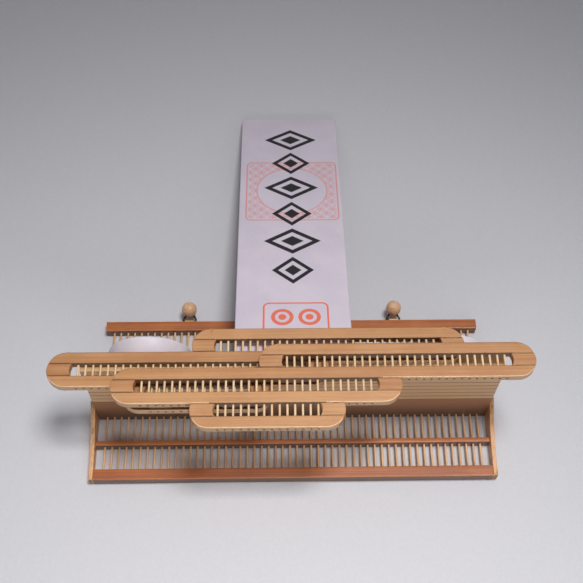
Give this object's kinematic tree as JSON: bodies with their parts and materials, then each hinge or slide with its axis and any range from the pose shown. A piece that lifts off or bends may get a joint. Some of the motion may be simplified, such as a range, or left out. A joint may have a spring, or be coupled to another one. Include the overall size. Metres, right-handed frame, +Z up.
{
  "type": "kamidana",
  "caption": "Wall-hung bamboo shelf with a stick lattice back, a fascia of overlapping cloud shapes, a leaning paper tablet and small white dishes.",
  "frame": {"origin": "centre of the top rail's back face, which lies flat against the wall", "axes": "+Y into the wall, +Z up, +X to the right as seen from the room"},
  "size_m": [0.2762, 0.096, 0.2785],
  "materials": {
    "rail_bamboo": "satin",
    "side_board_bamboo": "satin",
    "lattice_stick_bamboo": "matte",
    "shelf_front_bamboo": "satin",
    "shelf_rear_bamboo": "satin",
    "cloud_bar_bamboo": "satin",
    "cloud_end_bamboo": "satin",
    "cloud_stick_bamboo": "matte",
    "spacer_bamboo": "matte",
    "hanger_brass": "satin",
    "pin_ball_wood": "satin",
    "pin_needle_steel": "polished",
    "tablet_paper": "matte",
    "dish_glaze": "gloss"
  },
  "bodies": {
    "root": {"bottom_rail": "rail_bamboo", "centre_cloud_end_blocks": "cloud_end_bamboo", "foot_cloud_end_blocks": "cloud_end_bamboo", "front_bar_1": "cloud_bar_bamboo", "front_bar_2": "cloud_bar_bamboo", "front_bar_3": "cloud_bar_bamboo", "front_bar_4": "cloud_bar_bamboo", "front_cloud_sticks": "cloud_stick_bamboo", "lattice_sticks": "lattice_stick_bamboo", "layer_spacers": "spacer_bamboo", "left_cloud_end_blocks": "cloud_end_bamboo", "left_dish": "dish_glaze", "left_hanger_ring": "hanger_brass", "left_hanger_strap": "hanger_brass", "left_pin_ball": "pin_ball_wood", "left_pin_needle": "pin_needle_steel", "left_side_board": "side_board_bamboo", "low_cloud_end_blocks": "cloud_end_bamboo", "middle_rail": "rail_bamboo", "rear_bar_1": "cloud_bar_bamboo", "rear_bar_2": "cloud_bar_bamboo", "rear_bar_3": "cloud_bar_bamboo", "rear_bar_4": "cloud_bar_bamboo", "rear_cloud_sticks": "cloud_stick_bamboo", "right_cloud_end_blocks": "cloud_end_bamboo", "right_dish": "dish_glaze", "right_hanger_ring": "hanger_brass", "right_hanger_strap": "hanger_brass", "right_pin_ball": "pin_ball_wood", "right_pin_needle": "pin_needle_steel", "right_side_board": "side_board_bamboo", "shelf_front_board": "shelf_front_bamboo", "shelf_rear_board": "shelf_rear_bamboo", "tablet": "tablet_paper", "top_rail": "rail_bamboo", "upper_cloud_end_blocks": "cloud_end_bamboo"}
  },
  "joints": []
}
